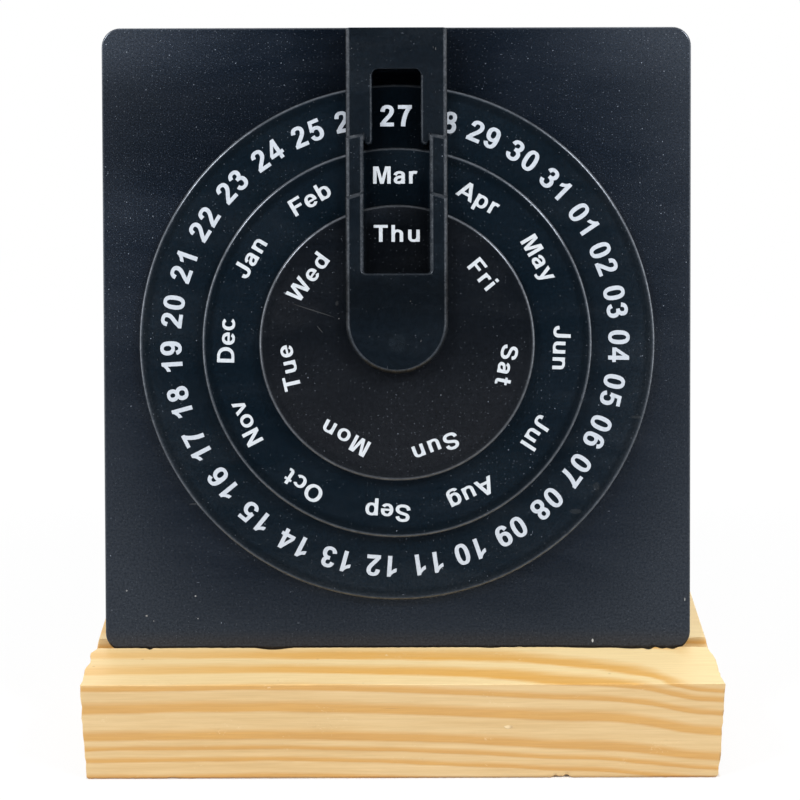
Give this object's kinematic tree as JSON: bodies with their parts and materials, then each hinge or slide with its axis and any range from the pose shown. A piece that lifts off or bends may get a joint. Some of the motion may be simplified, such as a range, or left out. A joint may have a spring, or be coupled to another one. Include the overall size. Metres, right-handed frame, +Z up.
{
  "type": "perpetual desk calendar",
  "caption": "Leaning black plate on a wooden block, carrying stacked day, month and weekday dials that turn behind a stepped window arm.",
  "frame": {"origin": "centre of the wooden base's underside, on the desk", "axes": "+Z up, +X to the viewer's right, +Y to the back; the plate's face looks towards -Y and up"},
  "size_m": [0.1316, 0.0613, 0.1468],
  "materials": {
    "pine": "planed, unvarnished pine with straight grain",
    "plate_plastic": "fine leather-grain texture, slightly dusty",
    "dial_plastic": "smooth satin black with printed white lettering",
    "arm_plastic": "satin moulded black",
    "zinc_steel": "bright zinc plate",
    "white_print": "white screen-printed ink"
  },
  "bodies": {
    "stand": {"wooden_base": "pine", "back_plate": "plate_plastic", "window_arm": "arm_plastic", "arm_screws": "zinc_steel", "arm_washers": "zinc_steel"},
    "day_wheel": {"day_dial": "dial_plastic"},
    "month_wheel": {"month_dial": "dial_plastic"},
    "weekday_wheel": {"weekday_dial": "dial_plastic"}
  },
  "joints": [
    {"name": "day_turn", "type": "hinge", "parent": "stand", "child": "day_wheel", "pos_m": [-0.00105, 0.01182, 0.08301], "axis": [0, -0.9511, 0.309], "continuous": true},
    {"name": "month_turn", "type": "hinge", "parent": "stand", "child": "month_wheel", "pos_m": [-0.00105, 0.01182, 0.08301], "axis": [0, -0.9511, 0.309], "continuous": true},
    {"name": "weekday_turn", "type": "hinge", "parent": "stand", "child": "weekday_wheel", "pos_m": [-0.00105, 0.01182, 0.08301], "axis": [0, -0.9511, 0.309], "continuous": true}
  ]
}
